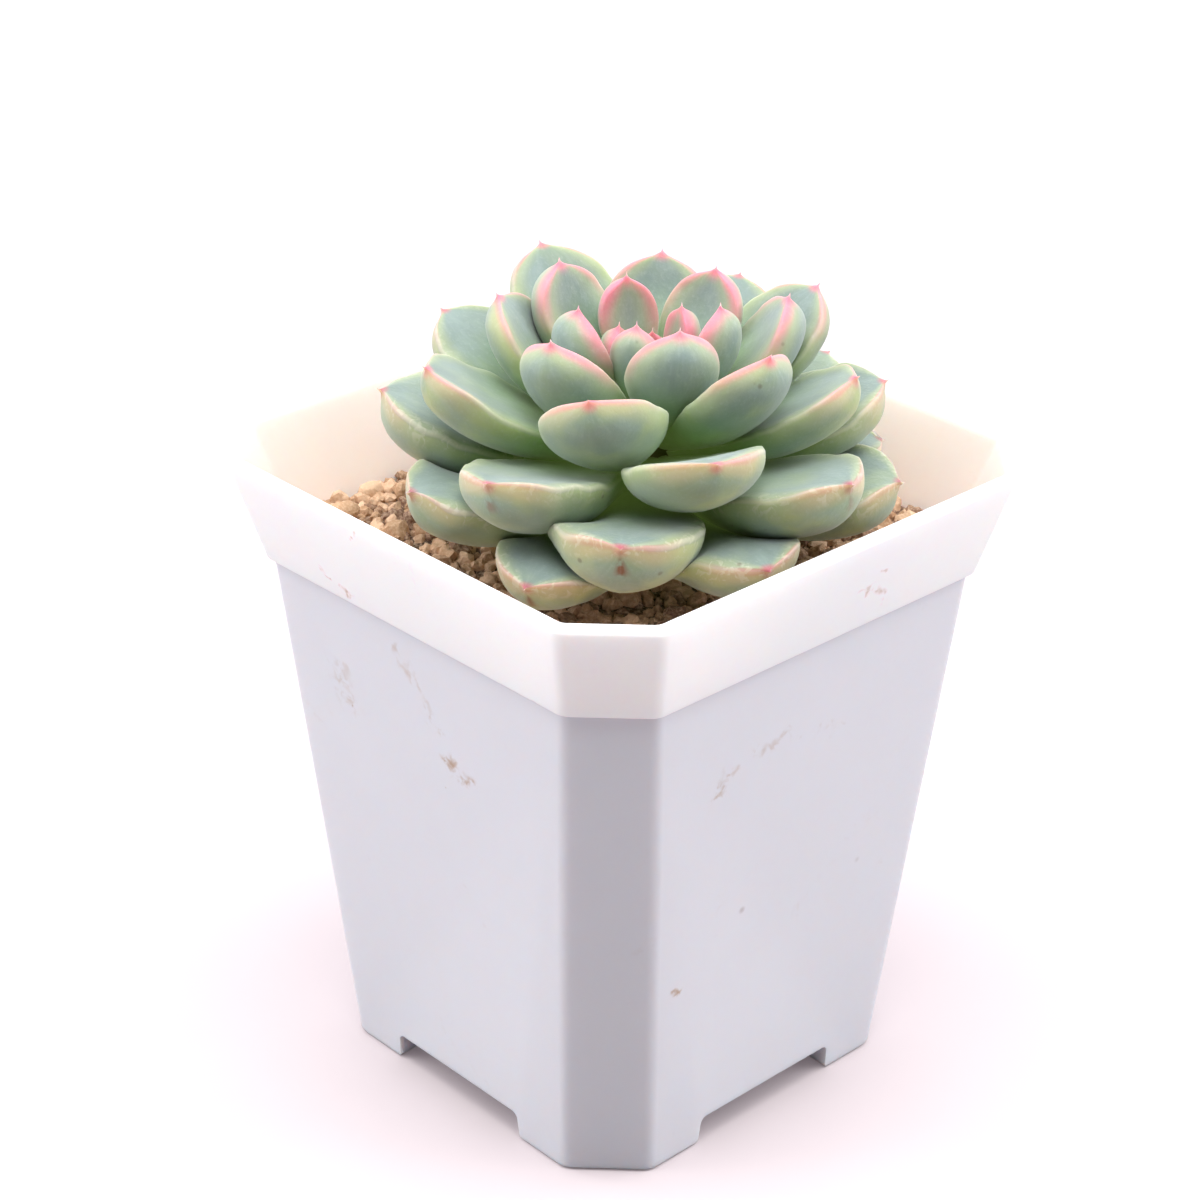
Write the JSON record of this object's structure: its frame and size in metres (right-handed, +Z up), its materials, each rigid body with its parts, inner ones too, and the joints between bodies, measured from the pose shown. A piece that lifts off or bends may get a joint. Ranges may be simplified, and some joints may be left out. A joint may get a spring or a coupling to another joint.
{
  "type": "potted succulent",
  "caption": "Rosette succulent with fat pointed leaves, in gritty soil in a small square white plastic pot with cut corners, a rim band and corner feet.",
  "frame": {"origin": "on the ground under the middle of the pot", "axes": "+Z up, +X and +Y square to the pot's flat sides"},
  "size_m": [0.07, 0.07, 0.0978],
  "materials": {
    "pot_plastic": "semi-gloss moulded white plastic, slightly soiled",
    "soil": "dry gritty potting soil, matt and granular",
    "grit": "rough baked-clay lumps, matt",
    "stem": "dry brownish green skin",
    "leaf_heart": "waxy bloom, grey green with rose pink margins",
    "leaf_middle": "waxy bloom, blue green with pink margins and yellow green flanks",
    "leaf_outer": "waxy bloom, green with thin red margins and old brown scuffs"
  },
  "bodies": {
    "root": {"pot": "pot_plastic", "soil": "soil", "stem": "stem", "grit_01": "grit", "grit_02": "grit", "grit_03": "grit", "grit_04": "grit", "grit_05": "grit", "grit_06": "grit", "grit_07": "grit", "grit_08": "grit", "grit_09": "grit", "grit_10": "grit", "grit_11": "grit", "grit_12": "grit", "leaf_00": "leaf_heart", "leaf_01": "leaf_heart", "leaf_02": "leaf_heart", "leaf_03": "leaf_heart", "leaf_04": "leaf_heart", "leaf_05": "leaf_heart", "leaf_06": "leaf_heart", "leaf_07": "leaf_heart", "leaf_08": "leaf_heart", "leaf_09": "leaf_heart", "leaf_10": "leaf_heart", "leaf_11": "leaf_heart", "leaf_12": "leaf_heart", "leaf_13": "leaf_middle", "leaf_14": "leaf_middle", "leaf_15": "leaf_middle", "leaf_16": "leaf_middle", "leaf_17": "leaf_middle", "leaf_18": "leaf_middle", "leaf_19": "leaf_middle", "leaf_20": "leaf_middle", "leaf_21": "leaf_middle", "leaf_22": "leaf_middle", "leaf_23": "leaf_middle", "leaf_24": "leaf_middle", "leaf_25": "leaf_outer", "leaf_26": "leaf_outer", "leaf_27": "leaf_outer", "leaf_28": "leaf_outer", "leaf_29": "leaf_outer", "leaf_30": "leaf_outer", "leaf_31": "leaf_outer", "leaf_32": "leaf_outer", "leaf_33": "leaf_outer", "leaf_34": "leaf_outer", "leaf_35": "leaf_outer", "leaf_36": "leaf_outer", "leaf_37": "leaf_outer", "leaf_38": "leaf_outer", "leaf_39": "leaf_outer", "leaf_40": "leaf_outer", "leaf_41": "leaf_outer", "leaf_42": "leaf_outer", "leaf_43": "leaf_outer"}
  },
  "joints": []
}
